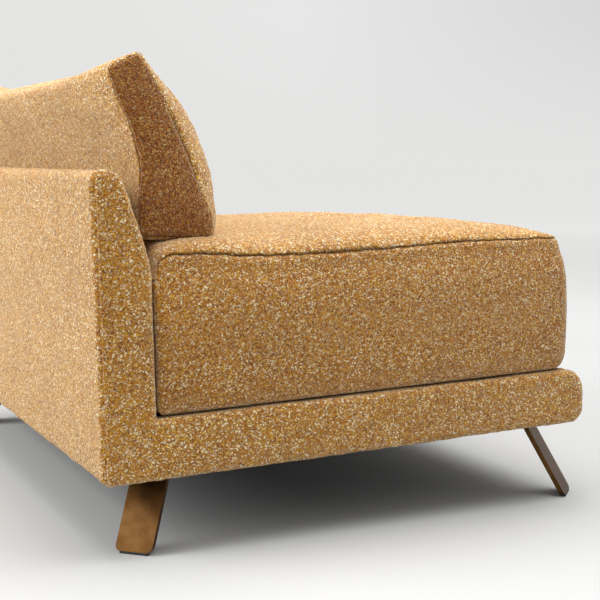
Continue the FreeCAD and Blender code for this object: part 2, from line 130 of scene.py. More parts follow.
def fan(first, count, hub):
    return [(first + i, first + (i + 1) % count, hub) for i in range(count)]


def smooth_step(x, low, high):
    t = np.clip((np.asarray(x, float) - low) / (high - low), 0, 1)
    return t * t * (3 - 2 * t)


def waves(points, length, seed):
    """Smooth, repeatable unevenness between about -1 and 1, with that wavelength."""
    random = np.random.default_rng(seed)
    total = np.zeros(len(points))
    for _ in range(7):
        way = random.normal(size=3)
        way *= (0.7 + 0.6 * random.random()) * 2 * math.pi / (length * np.linalg.norm(way))
        total += np.sin(points @ way + random.random() * 2 * math.pi)
    return total / 3.5


def rounded_polygon(corners, arc_step):
    """A closed outline from (depth, height, radius) corners, with every corner turned into an arc."""
    outline = []
    count = len(corners)
    for k in range(count):
        before, here, after = (np.array(corners[(k + s) % count][:2]) for s in (-1, 0, 1))
        radius = corners[k][2]
        a = (before - here) / np.linalg.norm(before - here)
        b = (after - here) / np.linalg.norm(after - here)
        half_angle = math.acos(np.clip(a @ b, -1, 1)) / 2
        middle = (a + b) / np.linalg.norm(a + b)
        centre = here + middle * radius / math.sin(half_angle)
        start = here + a * radius / math.tan(half_angle) - centre
        end = here + b * radius / math.tan(half_angle) - centre
        turn = math.pi - 2 * half_angle
        steps = max(2, int(radius * turn / arc_step) + 1)
        for s in range(steps + 1):
            t = s / steps
            way = (start * math.sin((1 - t) * turn) + end * math.sin(t * turn)) / math.sin(turn)
            outline.append(centre + way)
    return np.array(outline)


def resample(outline, step):
    """The closed outline with points no further apart than step, its own points kept."""
    points = []
    for k in range(len(outline)):
        a, b = outline[k], outline[(k + 1) % len(outline)]
        pieces = max(1, math.ceil(np.linalg.norm(b - a) / step))
        points += [a + (b - a) * s / pieces for s in range(pieces)]
    return np.array(points)


def outward(outline):
    """Unit normals of a closed counter-clockwise or clockwise outline, pointing out of it."""
    along = np.roll(outline, -1, axis=0) - np.roll(outline, 1, axis=0)
    along /= np.linalg.norm(along, axis=1)[:, None]
    normal = np.stack([along[:, 1], -along[:, 0]], axis=1)
    x, y = outline[:, 0], outline[:, 1]
    area = np.sum(x * np.roll(y, -1) - np.roll(x, -1) * y)
    return normal if area > 0 else -normal


# Materials


def new_material(name):
    material = bpy.data.materials.new(name)
    material.use_nodes = True
    tree = material.node_tree
    shader = tree.nodes["Principled BSDF"]
    return material, tree, shader


def add_node(tree, kind, settings=None, **inputs):
    """Adds a node, sets its options, and fills its inputs with values or with other nodes' outputs."""
    made = tree.nodes.new(kind)
    for key, value in (settings or {}).items():
        setattr(made, key, value)
    for key, value in inputs.items():
        socket = made.inputs[int(key[1:])] if key[1:].isdigit() and key[0] == "i" else made.inputs[
            key.replace("_", " ")]
        if isinstance(value, bpy.types.NodeSocket):
            tree.links.new(value, socket)
        else:
            socket.default_value = value
    return made


def ramp(tree, factor, stops, interpolation="LINEAR"):
    made = tree.nodes.new("ShaderNodeValToRGB")
    made.color_ramp.interpolation = interpolation
    while len(made.color_ramp.elements) < len(stops):
        made.color_ramp.elements.new(0.5)
    for element, (place, colour) in zip(made.color_ramp.elements, stops):
        element.position = place
        element.color = (*colour, 1)
    tree.links.new(factor, made.inputs[0])
    return made.outputs[0]


def maths(tree, operation, a, b=0.0, clamp=False):
    settings = {"operation": operation, "use_clamp": clamp}
    return add_node(tree, "ShaderNodeMath", settings, i0=a, i1=b).outputs[0]


def mixed(tree, factor, a, b, blend="MIX"):
    made = add_node(tree, "ShaderNodeMix", {"data_type": "RGBA", "blend_type": blend}, i0=factor)
    for socket, value in ((made.inputs[6], a), (made.inputs[7], b)):
        if isinstance(value, bpy.types.NodeSocket):
            tree.links.new(value, socket)
        else:
            socket.default_value = (*value, 1)
    return made.outputs[2]


def boucle():
    """Looped yarn: curls a few millimetres across in ochre, brown, orange and cream, with painted shade
    between the loops, along the seams and on some whole panels.
    """
    material, tree, shader = new_material("boucle")
    place = add_node(tree, "ShaderNodeTexCoord").outputs["Object"]
    drift = add_node(tree, "ShaderNodeTexNoise", Vector=place, Scale=320.0, Detail=1.0).outputs["Color"]
    drift = add_node(tree, "ShaderNodeVectorMath", {"operation": "SUBTRACT"}, i0=drift, i1=(0.5, 0.5, 0.5))
    drift = add_node(tree, "ShaderNodeVectorMath", {"operation": "SCALE"}, i0=drift.outputs[0], Scale=0.0052)
    curled = add_node(tree, "ShaderNodeVectorMath", {"operation": "ADD"}, i0=place, i1=drift.outputs[0])
    curled = add_node(tree, "ShaderNodeMapping", Vector=curled.outputs[0], Scale=(1.0, 1.0, 1.35))
    curled = curled.outputs[0]
    loops = add_node(tree, "ShaderNodeTexVoronoi", Vector=curled, Scale=380.0)
    small = add_node(tree, "ShaderNodeTexVoronoi", Vector=curled, Scale=700.0)
    pick = add_node(tree, "ShaderNodeSeparateColor", Color=loops.outputs["Color"])
    yarn = ramp(tree, pick.outputs[0], [
        (0.0, (0.24, 0.076, 0.002)), (0.13, (0.47, 0.178, 0.002)), (0.45, (0.64, 0.278, 0.003)),
        (0.76, (0.82, 0.48, 0.03)), (0.87, (1.0, 0.89, 0.60))], "CONSTANT")
    fleck = add_node(tree, "ShaderNodeSeparateColor", Color=small.outputs["Color"]).outputs[1]
    yarn = mixed(tree, maths(tree, "GREATER_THAN", fleck, 0.94), yarn, (0.95, 0.82, 0.58))
    slope = maths(tree, "MULTIPLY", loops.outputs["Distance"], 1.25)
    loop_height = maths(tree, "SUBTRACT", 1.0, slope, True)
    fine_height = maths(tree, "SUBTRACT", 1.0, small.outputs["Distance"], True)
    height = maths(tree, "ADD", loop_height, maths(tree, "MULTIPLY", fine_height, 0.4))
    depth = maths(tree, "SUBTRACT", 1.0, maths(tree, "MULTIPLY", loop_height, 1.75), True)
    # Painted shade: the gaps between the loops are mixed towards dark brown, standing in for the shade that
    # falls there.
    colour = mixed(tree, maths(tree, "MULTIPLY", depth, 0.68), yarn, (0.20, 0.064, 0.004))
    patches = add_node(tree, "ShaderNodeTexNoise", Vector=place, Scale=9.0, Detail=4.0).outputs[0]
    shade = ramp(tree, patches, [(0.3, (0.88, 0.86, 0.82)), (0.7, (1.0, 1.0, 1.0))])
    colour = mixed(tree, 1.0, colour, shade, "MULTIPLY")
    # Painted shade on whole panels: the back cushion's boxed ends and the seat cushion's sides are multiplied
    # darker and more orange.
    nap = add_node(tree, "ShaderNodeAttribute", {"attribute_name": "nap"}).outputs["Fac"]
    colour = mixed(tree, nap, colour, mixed(tree, 1.0, colour, (0.57, 0.40, 0.18), "MULTIPLY"))
    seam = add_node(tree, "ShaderNodeAttribute", {"attribute_name": "seam"}).outputs["Fac"]
    seam_shade_strength = add_node(tree, "ShaderNodeTexNoise", Vector=place, Scale=130.0, Detail=2.0).outputs[0]
    seam_shade_strength = add_node(tree, "ShaderNodeMapRange", Value=seam_shade_strength, From_Min=0.35, From_Max=0.6,
                      To_Min=0.55, To_Max=0.92)
    # Painted shade along the seams, broken up by noise, standing in for the shade in each seam's groove.
    colour = mixed(tree, maths(tree, "MULTIPLY", seam, seam_shade_strength.outputs[0]), colour, (0.07, 0.024, 0.005))
    tree.links.new(colour, shader.inputs["Base Color"])
    bump = add_node(tree, "ShaderNodeBump", Height=height, Strength=1.0, Distance=0.0020)
    tree.links.new(bump.outputs[0], shader.inputs["Normal"])
    shader.inputs["Roughness"].default_value = 0.92
    shader.inputs["Specular IOR Level"].default_value = 0.15
    sheen = maths(tree, "SUBTRACT", 0.92, maths(tree, "MULTIPLY", depth, 0.6))
    sheen = maths(tree, "SUBTRACT", sheen, maths(tree, "MULTIPLY", seam, 0.7), True)
    tree.links.new(sheen, shader.inputs["Sheen Weight"])
    shader.inputs["Sheen Roughness"].default_value = 0.45
    tree.links.new(mixed(tree, 0.7, colour, (1.0, 0.98, 0.84)), shader.inputs["Sheen Tint"])
    return material


def bronze():
    """Brushed and patinated bronze, lighter where it is rubbed."""
    material, tree, shader = new_material("brushed_bronze")
    place = add_node(tree, "ShaderNodeTexCoord").outputs["Object"]
    strokes = add_node(tree, "ShaderNodeMapping", Vector=place, Scale=(60.0, 60.0, 900.0)).outputs[0]
    grain = add_node(tree, "ShaderNodeTexNoise", Vector=strokes, Scale=1.0, Detail=4.0).outputs[0]
    cloud = add_node(tree, "ShaderNodeTexNoise", Vector=place, Scale=28.0, Detail=4.0).outputs[0]
    colour = ramp(tree, cloud, [(0.3, (0.057, 0.025, 0.0075)), (0.5, (0.092, 0.043, 0.013)),
                                (0.7, (0.133, 0.067, 0.023))])
    tree.links.new(colour, shader.inputs["Base Color"])
    rough = add_node(tree, "ShaderNodeMapRange", Value=grain, To_Min=0.38, To_Max=0.56).outputs[0]
    tree.links.new(rough, shader.inputs["Roughness"])
    bump = add_node(tree, "ShaderNodeBump", Height=grain, Strength=0.25, Distance=0.0003)
    tree.links.new(bump.outputs[0], shader.inputs["Normal"])
    shader.inputs["Metallic"].default_value = 1.0
    return material


def plain_metal(name, dark, light, metallic, rough_low, rough_high):
    material, tree, shader = new_material(name)
    place = add_node(tree, "ShaderNodeTexCoord").outputs["Object"]
    cloud = add_node(tree, "ShaderNodeTexNoise", Vector=place, Scale=90.0, Detail=5.0).outputs[0]
    tree.links.new(ramp(tree, cloud, [(0.3, dark), (0.7, light)]), shader.inputs["Base Color"])
    rough = add_node(tree, "ShaderNodeMapRange", Value=cloud, To_Min=rough_low, To_Max=rough_high).outputs[0]
    tree.links.new(rough, shader.inputs["Roughness"])
    bump = add_node(tree, "ShaderNodeBump", Height=cloud, Strength=0.1, Distance=0.0003)
    tree.links.new(bump.outputs[0], shader.inputs["Normal"])
    shader.inputs["Metallic"].default_value = metallic
    return material


def timber(name, dark, light, stretch):
    """Wood grain drawn out along one axis."""
    material, tree, shader = new_material(name)
    place = add_node(tree, "ShaderNodeTexCoord").outputs["Object"]
    drawn = add_node(tree, "ShaderNodeMapping", Vector=place, Scale=stretch).outputs[0]
    bend = add_node(tree, "ShaderNodeTexNoise", Vector=drawn, Scale=0.7, Detail=3.0, Distortion=0.6).outputs[0]
    rings = maths(tree, "FRACT", maths(tree, "MULTIPLY", bend, 9.0))
    fibre = add_node(tree, "ShaderNodeTexNoise", Vector=drawn, Scale=9.0, Detail=6.0).outputs[0]
    figure = maths(tree, "ADD", maths(tree, "MULTIPLY", rings, 0.45), maths(tree, "MULTIPLY", fibre, 0.6))
    tree.links.new(ramp(tree, figure, [(0.2, dark), (0.85, light)]), shader.inputs["Base Color"])
    rough = add_node(tree, "ShaderNodeMapRange", Value=fibre, To_Min=0.5, To_Max=0.75).outputs[0]
    tree.links.new(rough, shader.inputs["Roughness"])
    bump = add_node(tree, "ShaderNodeBump", Height=fibre, Strength=0.3, Distance=0.0005)
    tree.links.new(bump.outputs[0], shader.inputs["Normal"])
    return material


def cloth(name, dark, light, density):
    """Thin plain-woven or felted cloth."""
    material, tree, shader = new_material(name)
    place = add_node(tree, "ShaderNodeTexCoord").outputs["Object"]
    warp = add_node(tree, "ShaderNodeTexWave", {"bands_direction": "X"}, Vector=place, Scale=density,
                    Distortion=1.0).outputs[1]
    weft = add_node(tree, "ShaderNodeTexWave", {"bands_direction": "Y"}, Vector=place, Scale=density,
                    Distortion=1.0).outputs[1]
    weave = maths(tree, "MULTIPLY", warp, weft)
    tree.links.new(ramp(tree, weave, [(0.0, dark), (1.0, light)]), shader.inputs["Base Color"])
    bump = add_node(tree, "ShaderNodeBump", Height=weave, Strength=0.4, Distance=0.0004)
    tree.links.new(bump.outputs[0], shader.inputs["Normal"])
    shader.inputs["Roughness"].default_value = 0.95
    return material


def moulded(name, dark, light, rough):
    material, tree, shader = new_material(name)
    place = add_node(tree, "ShaderNodeTexCoord").outputs["Object"]
    cloud = add_node(tree, "ShaderNodeTexNoise", Vector=place, Scale=240.0, Detail=4.0).outputs[0]
    tree.links.new(ramp(tree, cloud, [(0.3, dark), (0.7, light)]), shader.inputs["Base Color"])
    bump = add_node(tree, "ShaderNodeBump", Height=cloud, Strength=0.2, Distance=0.0003)
    tree.links.new(bump.outputs[0], shader.inputs["Normal"])
    shader.inputs["Roughness"].default_value = rough
    return material


# Stitching and cloth


SEAM_WIDTH = 0.0030
SEAM_DEPTH = 0.0030
SHOULDER_HEIGHT = 0.0012
SHOULDER_DISTANCE = 0.009
SHOULDER_WIDTH = 0.006
SEAM_SHADE_WIDTH = 0.0015


def seam_profile(distance, strength=1.0):
    """How far cloth dips at a distance from a seam: a narrow groove between two soft shoulders."""
    groove = SEAM_DEPTH * np.exp(-(distance / SEAM_WIDTH) ** 2)
    shoulder = SHOULDER_HEIGHT * np.exp(-((np.abs(distance) - SHOULDER_DISTANCE) / SHOULDER_WIDTH) ** 2)
    return strength * (groove - shoulder)


def painted_seam_shade(distance):
    """How much a place is painted darker along a seam, as painted shade in its groove."""
    return np.exp(-(np.asarray(distance, float) / SEAM_SHADE_WIDTH) ** 2)


def pile(points):
    """The small unevenness of looped yarn that shows along an edge."""
    height = 0.0010 * waves(points, 0.011, 31) + 0.0008 * waves(points, 0.09, 32)
    return height[:, None] * np.array([0.35, 0.7, 0.6])


# Upholstered shell: platform and back panel in one cover


COVER_STEP = 0.0062
EDGE_RADIUS = 0.011
END_SEAM_SHADE = 0.35


def shell_outline():
    """The cover's side outline, how strongly its end seam shows at each point, and its half width."""
    half, depth, base_top = shell_box("base_side_pad_right")[1]
    panel_front, panel_top = shell_box("back_end_pad_right")[1][1:] - (0.0015, 0)
    bend_height = shell_box("back_inner_board")[1][2] + 0.012
    top_front = shell_box("back_top_pad")[1][1] - 0.0065
    nose = depth + 0.005
    outline = rounded_polygon([
        (0, 0, 0.015), (0, panel_top, 0.017), (top_front, panel_top, 0.031),
        (panel_front, bend_height, 0.15), (panel_front, base_top, 0.002),
        (nose, base_top, 0.037), (nose, 0, 0.027)], 0.003)
    outline = resample(outline, COVER_STEP)
    on_panel = smooth_step(outline[:, 1], base_top, base_top + 0.05) + (outline[:, 0] < 0.002)
    behind_top = 1 - smooth_step(outline[:, 0], top_front - 0.012, top_front + 0.004)
    return outline, np.clip(on_panel, 0, 1) * behind_top, half


def shell_cover(material):
    outline, seam_strength, half = shell_outline()
    normal = outward(outline)
    flat = half - EDGE_RADIUS
    seam_angle = math.radians(45)
    angles = np.radians([0, 12, 24, 33, 38, 42, 45, 48, 52, 57, 66, 78, 90])
    stations = [(flat + EDGE_RADIUS * math.sin(a), EDGE_RADIUS * (1 - math.cos(a)), a) for a in angles]
    inner = np.linspace(0, flat, int(flat / COVER_STEP))[:-1]
    stations = [(x, 0.0, -1.0) for x in inner] + stations
    stations = [(-x, inset, a) for x, inset, a in reversed(stations)] + stations[1:]
    rings, lines = [], []
    for x, inset, angle in stations:
        beside = EDGE_RADIUS * (angle - seam_angle) if angle >= 0 else 1.0
        dip = seam_profile(beside, seam_strength)
        lines.append(END_SEAM_SHADE * painted_seam_shade(beside) * seam_strength)
        ring = outline - normal * (inset + dip)[:, None]
        rings.append(np.column_stack([np.full(len(ring), x), ring]))
    count = len(outline)
    points = np.vstack(rings)
    points += pile(points)
    faces = ring_faces(len(rings), count)
    faces.append(tuple(range(count)))
    faces.append(tuple(range((len(rings) - 1) * count, len(rings) * count)))
    cover = mesh_piece("shell_cover", points, faces, material, seam=np.concatenate(lines))
    side = shell_box("base_right_rail")[0][0] + 0.001
    rear, front = shell_box("base_rear_rail")[1][1] - 0.001, shell_box("base_front_rail")[0][1] + 0.001
    bay_floor = shell_box("storage_floor")[1][2] - 0.005
    bay_top = shell_box("base_side_pad_right")[1][2] + 0.02
    hollow_out(cover, "bay", (side, rear, front, bay_floor, bay_top))
    _, dust = shell_box("dust_cover")
    hollow_out(cover, "recess", (dust[0] - 0.038, 0.04, dust[1] - 0.012, -0.01, dust[2] + 0.0002))
    return cover


def hollow_out(cover, name, sizes):
    """Cuts a box from a cover: half its width, its depths and its heights."""
    half, depth0, depth1, z0, z1 = sizes
    corners = [(x, d, z) for x in (-half, half) for d in (depth0, depth1) for z in (z0, z1)]
    faces = [(0, 1, 3, 2), (4, 6, 7, 5), (0, 4, 5, 1), (2, 3, 7, 6), (0, 2, 6, 4), (1, 5, 7, 3)]
    tool = mesh_piece(name, np.array(corners), faces, cover.data.materials[0])
    cut = cover.modifiers.new("cut", "BOOLEAN")
    cut.operation = "DIFFERENCE"
    cut.solver = "EXACT"
    cut.object = tool
    bake_modifiers(cover)
    bpy.data.objects.remove(tool)


def bake_modifiers(piece):
    """Applies every modifier, so that only plain geometry is left."""
    graph = bpy.context.evaluated_depsgraph_get()
    made = bpy.data.meshes.new_from_object(piece.evaluated_get(graph))
    piece.modifiers.clear()
    old = piece.data
    piece.data = made
    bpy.data.meshes.remove(old)


# Seat cushion


SEAT_CROWN = 0.032
SEAT_PEAK = -0.25             # where across its width the seat is fullest
SEAM_BELOW_FOAM = 0.0245      # from the foam's top down to the sewn seam
TOP_TAPER = 0.0115            # how far the cushion's sides lean in at the seam
TOP_INSET = 0.012
FAR_SINK = 0.014
# Strength of the painted shade on the seat cushion's sides.
SIDE_PANEL_SHADE = 0.28
SEAT_POINTS = 640             # points in one loop round the cushion
SEAT_REAR_RADIUS = 0.006
SEAT_FRONT_RADIUS = 0.026
FRONT_BELLY = 0.013
FOLD_HEIGHT = 0.019           # of the rounded fold at the cushion's lower edge
TOP_SPAN = 0.365              # length from the seam to the middle that the loops on the top share


def seat_rise(across, depth):
    """Height of the seat cushion's top over its seam: fullest towards the -X end, as a used seat is."""
    low, high = shell_box("lid_side_pads")
    reach = high[0] - TOP_INSET
    near = across < SEAT_PEAK
    from_peak = np.abs(across - SEAT_PEAK)
    u = np.clip(from_peak / np.where(near, reach + SEAT_PEAK, reach - SEAT_PEAK), 0, 1)
    v = (depth - (low[1] + high[1]) / 2) / ((high[1] - low[1]) / 2 - 0.005)
    used = np.where(near, np.sqrt(1 - u ** 4.5), 1 - u ** 2)
    even = np.sqrt(np.clip(1 - np.abs(across / reach) ** 8, 0, 1))
    side = even + (used - even) * smooth_step(depth, 0.20, 0.36)
    rear = np.where(v < 0, 24.0, 3.6)
    return SEAT_CROWN * side * np.sqrt(np.clip(1 - np.abs(v) ** rear, 0, 1))


def seat_seam(depth):
    """How far the seat's top seam stands over its usual height: highest where the back cushion presses."""
    back = np.asarray(depth, float) - shell_box("lid_side_pads")[0][1]
    return 0.0125 * np.exp(-((back - 0.035) / 0.105) ** 2) + 0.0045 * np.exp(-((back - 0.57) / 0.13) ** 2)


def seam_level():
    return shell_box("seat_foam")[1][2] - SEAM_BELOW_FOAM


def far_sink(across):
    """How far the seat sinks towards its +X side."""
    return FAR_SINK * smooth_step(across, -0.1, shell_box("lid_side_pads")[1][0])


def wrinkles(points, level):
    """Puckers along the seat's top seam and slight hollows in its top."""
    near_seam = np.exp(-(np.abs(points[:, 2] - level - 0.004) / 0.012) ** 2)
    pucker = 0.0007 * waves(points * (1, 1, 0.2), 0.021, 41) * near_seam
    hollow = 0.0016 * waves(points * (1, 1, 0.3), 0.13, 42) * (points[:, 2] > level + 0.004)
    return np.column_stack([pucker, pucker, pucker + hollow])


def rounded_rectangle(half_x, depth0, depth1, rear_radius, front_radius, count):
    """A closed outline seen from above, with points spread evenly along it."""
    outline = rounded_polygon([
        (half_x, depth0, rear_radius), (half_x, depth1, front_radius),
        (-half_x, depth1, front_radius), (-half_x, depth0, rear_radius)], front_radius / 8)
    length = np.linalg.norm(np.roll(outline, -1, axis=0) - outline, axis=1)
    place = np.concatenate([[0], np.cumsum(length)])
    closed = np.vstack([outline, outline[:1]])
    wanted = np.linspace(0, place[-1], count, endpoint=False)
    return np.column_stack([np.interp(wanted, place, closed[:, k]) for k in (0, 1)])


def seat_seam_drop(depth):
    """How far the seat's top seam curves down at its rear corners."""
    rear_round = 0.034
    turn = 1 - np.clip((np.asarray(depth, float) - shell_box("lid_side_pads")[0][1]) / rear_round, 0, 1)
    return rear_round * (1 - np.sqrt(np.clip(1 - turn ** 2, 0, 1)))


def lean(lift):
    """How far the cushion's sides lean in at a part of their height."""
    return TOP_TAPER * smooth_step(lift, 0.62, 1.05) ** 1.3


def seat_cushion(material):
    low, high = shell_box("lid_side_pads")
    half, depth0, depth1, bottom = high[0], low[1] - 0.0015, high[1], low[2]
    board_half = shell_box("lid_board_right")[1][0] + 0.0005
    inner0 = shell_box("lid_board_rear")[0][1] - 0.0005
    inner1 = shell_box("lid_board_front")[1][1] + 0.0005
    deck_top = shell_box("seat_deck")[1][2] + 0.0003
    level = seam_level()
    count = SEAT_POINTS
    base = rounded_rectangle(half, depth0, depth1, SEAT_REAR_RADIUS, SEAT_FRONT_RADIUS, count)
    normal = outward(base)
    cavity = rounded_rectangle(board_half, inner0, inner1, 0.001, 0.001, count)
    middle = np.array([0.0, (depth0 + depth1) / 2])
    front = smooth_step(base[:, 1], depth1 - SEAT_FRONT_RADIUS, depth1 - 0.004)
    front *= np.sqrt(np.clip(1 - np.abs(base[:, 0] / (half + 0.004)) ** 9, 0, 1))
    rear = 1 - smooth_step(base[:, 1], depth0 + 0.001, depth0 + 0.005)
    swell = seat_seam(base[:, 1]) - far_sink(base[:, 0])
    swell += 0.0012 * waves(np.column_stack([base, base[:, :1]]), 0.4, 5)
    drop = seat_seam_drop(base[:, 1])

    def ring(outline, z):
        return np.column_stack([outline, np.broadcast_to(z, len(outline))])

    rings = [ring(middle + (cavity - middle) * t, deck_top) for t in (0.3, 0.6, 0.9, 1.0)]
    rings += [ring(cavity, z) for z in np.linspace(deck_top, bottom + 0.003, 12)[1:]]
    inner_rings = len(rings)
    side = [(0.0175, 0.0000), (0.0120, -0.0006), (0.0075, 0.0008), (0.0040, 0.0038), (0.0018, 0.0080),
            (0.0006, 0.0130), (0.0, FOLD_HEIGHT)]
    for inset, rise in side:
        belly = FRONT_BELLY * (max(rise, 0) / FOLD_HEIGHT) ** 0.6
        rings.append(ring(base - normal * (inset - belly * front)[:, None], bottom + rise))
    lines = [np.zeros(count)] * len(rings)
    below_seam = np.array([0.012, 0.0085, 0.006, 0.0045, 0.003, 0.0018, 0.0008])
    heights = np.concatenate([np.linspace(bottom + 0.026, level - 0.016, 34), level - below_seam])
    for z in heights:
        lift = (z - bottom) / (level - bottom)
        taper = lean(lift) - 0.0025 * math.sin(math.pi * min(lift, 1))
        belly = FRONT_BELLY + 0.004 * math.sin(math.pi * lift) - 0.006 * float(smooth_step(lift, 0.8, 1.05))
        move = taper * (1 - rear) + float(seam_profile(z - level)) - belly * front
        height = z + (swell - drop) * smooth_step(lift, 0.45, 0.97)
        rings.append(ring(base - normal * move[:, None], height))
        lines.append(np.full(count, painted_seam_shade(z - level)))
    side_rings = len(rings)
    edge_inset = lean(1.0) * (1 - rear) - 0.007 * front
    top_edge = base - normal * edge_inset[:, None]
    rings.append(ring(top_edge - normal * SEAM_DEPTH, level + swell - drop))
    lines.append(np.ones(count))
    spans = np.concatenate([[0.0008, 0.0018, 0.003, 0.0045, 0.0065, 0.009, 0.012, 0.016, 0.021, 0.027],
                            np.linspace(0.034, 0.36, 52)])
    for span in spans:
        shrunk = middle + (top_edge - middle) * (1 - span / TOP_SPAN)
        rise = seat_rise(shrunk[:, 0], shrunk[:, 1]) + swell * math.exp(-(span / 0.055) ** 1.3)
        rise = rise - drop * math.exp(-(span / 0.014) ** 1.5)
        rings.append(ring(shrunk, level + rise - float(seam_profile(span)) * 0.6))
        lines.append(np.full(count, painted_seam_shade(span)))
    rings.append(ring(middle[None, :], level + seat_rise(*middle)))
    lines.append(np.zeros(1))
    points = np.vstack(rings)
    full = len(rings) - 1
    faces = ring_faces(full, count) + fan((full - 1) * count, count, len(points) - 1)
    faces.append(tuple(range(count)))
    outside = (np.arange(len(points)) >= (inner_rings + 4) * count)[:, None]
    points += outside * (pile(points) + wrinkles(points, level))
    # Painted shade: the seat cushion's sides, underside and hollow get the darker panel colour.
    nap = SIDE_PANEL_SHADE * (np.arange(len(points)) < side_rings * count)
    return mesh_piece("seat_cushion", points, faces, material, seam=np.concatenate(lines), nap=nap)


# Back cushion


CROWN_SAG = 0.016
SAG_END = 0.36                # part of the half width where the top begins to rise to its corner
FAR_SAG_END = 0.65            # the same at the +X end
RIDGE = 0.09                  # height of the part that sags
END_BULGE = 0.005
SWELL_RUN = 0.028             # from an end's seam to nearly full thickness
FIRST_SUPPORT = 0.17          # depth where the seat starts to carry the cushion
BENT_HEIGHT = 0.08            # of the part that bends to the seat
SINK_FOLLOWED = 0.6           # share of the seat's sink that the cushion follows
ZIP_GROOVE = 0.013
CUSHION_POINTS = 220          # points in one loop round the cushion


def spline(points, count):
    """A closed curve through the points, even in length."""
    points = np.asarray(points, float)
    dense = []
    for k in range(len(points)):
        p0, p1, p2, p3 = (points[(k + s) % len(points)] for s in (-1, 0, 1, 2))
        for t in np.linspace(0, 1, 24, endpoint=False):
            dense.append(0.5 * (2 * p1 + (p2 - p0) * t + (2 * p0 - 5 * p1 + 4 * p2 - p3) * t * t
                                + (3 * p1 - p0 - 3 * p2 + p3) * t ** 3))
    dense = np.array(dense)
    closed = np.vstack([dense, dense[:1]])
    place = np.concatenate([[0], np.cumsum(np.linalg.norm(np.diff(closed, axis=0), axis=1))])
    wanted = np.linspace(0, place[-1], count, endpoint=False)
    return np.column_stack([np.interp(wanted, place, closed[:, k]) for k in (0, 1)])


def boxed_end(tip, rear, bottom, top):
    """Points of the boxed end's outline, and how far each moves out at the middle of the width."""
    tall = top - bottom
    # (depth, height) of a point, then its move
    shape = [
        ((rear + 0.006, bottom + 0.006), (0.0, -0.006)),
        ((rear, bottom + 0.022), (0.0, 0.0)),
        ((rear, bottom + 0.40 * tall), (0.0, 0.0)),
        ((rear - 0.010, bottom + 0.60 * tall), (-0.007, 0.0)),
        ((rear - 0.024, bottom + 0.73 * tall), (-0.012, 0.0)),
        ((rear - 0.036, bottom + 0.85 * tall), (-0.011, 0.001)),
        ((tip - 0.0005, top - 0.0245), (-0.002, 0.001)),
        ((tip + 0.003, top - 0.0195), (0.001, 0.001)),
        ((tip + 0.026, top - 0.0095), (0.004, 0.003)),
        ((tip + 0.046, top - 0.0015), (0.008, 0.003)),
        ((tip + 0.0525, top - 0.0060), (0.014, 0.002)),
        ((tip + 0.064, top - 0.026), (0.026, 0.002)),
        ((tip + 0.095, top - 0.089), (0.048, 0.006)),
        ((tip + 0.125, top - 0.164), (0.052, 0.002)),
        ((tip + 0.149, top - 0.232), (0.036, 0.000)),
        ((tip + 0.1535, top - 0.250), (0.028, -0.002)),
        ((tip + 0.150, top - 0.2615), (0.022, -0.006)),
        ((tip + 0.140, bottom + 0.001), (0.010, -0.010)),
    ]
    return np.array([point for point, _ in shape]), np.array([move for _, move in shape])


def rest_on_seat(points, bottom):
    """Bends the cushion's lowest part to the seat's top."""
    across, depth = points[:, 0], points[:, 1]
    from_edge = shell_box("lid_side_pads")[1][0] - TOP_INSET - np.abs(across)
    seat = seam_level() + seat_rise(across, np.maximum(depth, FIRST_SUPPORT))
    seat += seat_seam(depth) * np.exp(-(from_edge / 0.055) ** 1.3) - SINK_FOLLOWED * far_sink(across)
    settle = np.clip(seat + 0.001 - bottom, -0.012, 0.02)
    points[:, 2] += settle * (1 - smooth_step(points[:, 2], bottom, bottom + BENT_HEIGHT))


def sink_zip(points, rear):
    """Presses the rear in along the zip's chain."""
    low, high = shell_box("zip_chain")
    beside = np.abs(points[:, 2] - (low[2] + high[2]) / 2) < ZIP_GROOVE / 2
    in_groove = beside & (points[:, 1] < rear + 0.012) & (np.abs(points[:, 0]) < high[0] + 0.004)
    points[in_groove, 1] = high[1] + 0.0008


